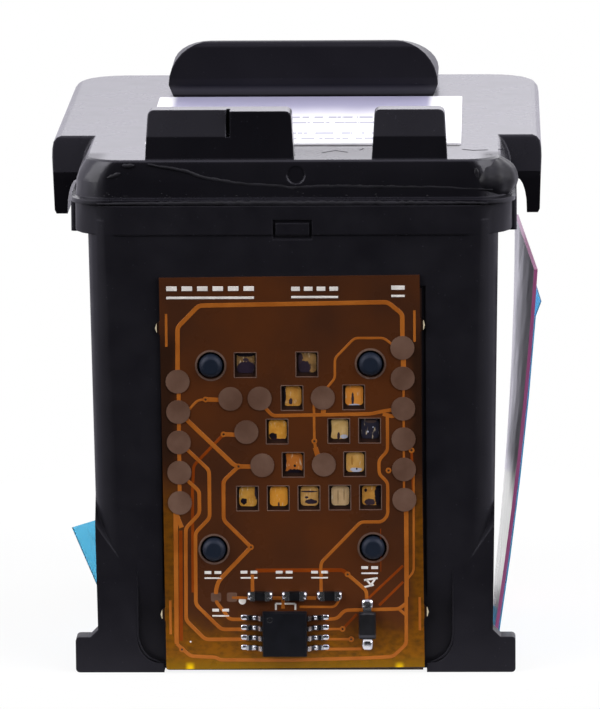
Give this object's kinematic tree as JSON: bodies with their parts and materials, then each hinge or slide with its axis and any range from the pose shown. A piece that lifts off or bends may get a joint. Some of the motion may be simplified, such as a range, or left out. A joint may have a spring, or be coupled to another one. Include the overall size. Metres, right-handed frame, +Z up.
{
  "type": "inkjet_ink_cartridge",
  "caption": "Black inkjet ink cartridge with print head, an adapter circuit over its contacts, a winged lid with a finger tab, and blue tape with a magenta pull tab over its nozzles.",
  "frame": {"origin": "centre of the cartridge's bounding box at its lowest level, which is the level of its feet and of the nose's rear lip", "axes": "+X to the right as one faces the contact wall, +Y from the contact wall towards the finger tab, +Z up from the nozzles to the lid"},
  "size_m": [0.033, 0.0424, 0.0384],
  "materials": {
    "black_plastic": "moulded black plastic, satin, with fine scratches",
    "black_lid_plastic": "moulded black plastic, smooth, with weld flash at the front",
    "label_paper": "coated white label with faint grey print",
    "ink_foam": "ink-soaked open foam",
    "steel_mesh": "fine woven steel screen",
    "silicon": "polished silicon",
    "gold_plating": "gold plating with dark rub marks",
    "resin_bead": "cured black resin",
    "dark_film": "dark polyimide film",
    "amber_film": "polyimide film with copper tracks showing through, glossy",
    "pad_metal": "plated contact pads, dull and dark in reflection",
    "chip_case": "black moulded chip case with tinned leads",
    "resistor_body": "black glaze between tinned end caps",
    "diode_case": "black moulded case with tinned leads and a pale band",
    "blue_tape": "thin blue film tape, smooth",
    "magenta_tab": "stiff plastic tab, magenta, glossy"
  },
  "bodies": {
    "root": {"body_shell": "black_plastic", "lid": "black_lid_plastic", "top_label": "label_paper", "foam_reservoir": "ink_foam", "filter_screen": "steel_mesh", "printhead_die": "silicon", "nozzle_plate": "gold_plating", "encapsulant_bead_front": "resin_bead", "encapsulant_bead_rear": "resin_bead", "head_flex": "dark_film", "head_contact_01": "gold_plating", "head_contact_02": "gold_plating", "head_contact_03": "gold_plating", "head_contact_04": "gold_plating", "head_contact_05": "gold_plating", "head_contact_06": "gold_plating", "head_contact_07": "gold_plating", "head_contact_08": "gold_plating", "head_contact_09": "gold_plating", "head_contact_10": "gold_plating", "head_contact_11": "gold_plating", "head_contact_12": "gold_plating", "head_contact_13": "gold_plating", "head_contact_14": "gold_plating", "adapter_flex": "amber_film", "adapter_pad_01": "pad_metal", "adapter_pad_02": "pad_metal", "adapter_pad_03": "pad_metal", "adapter_pad_04": "pad_metal", "adapter_pad_05": "pad_metal", "adapter_pad_06": "pad_metal", "adapter_pad_07": "pad_metal", "adapter_pad_08": "pad_metal", "adapter_pad_09": "pad_metal", "adapter_pad_10": "pad_metal", "adapter_pad_11": "pad_metal", "adapter_pad_12": "pad_metal", "adapter_pad_13": "pad_metal", "adapter_pad_14": "pad_metal", "adapter_pad_15": "pad_metal", "adapter_pad_16": "pad_metal", "adapter_pad_17": "pad_metal", "controller_chip": "chip_case", "resistor_1": "resistor_body", "resistor_2": "resistor_body", "resistor_3": "resistor_body", "diode": "diode_case", "nozzle_tape": "blue_tape", "pull_tab": "magenta_tab"}
  },
  "joints": []
}
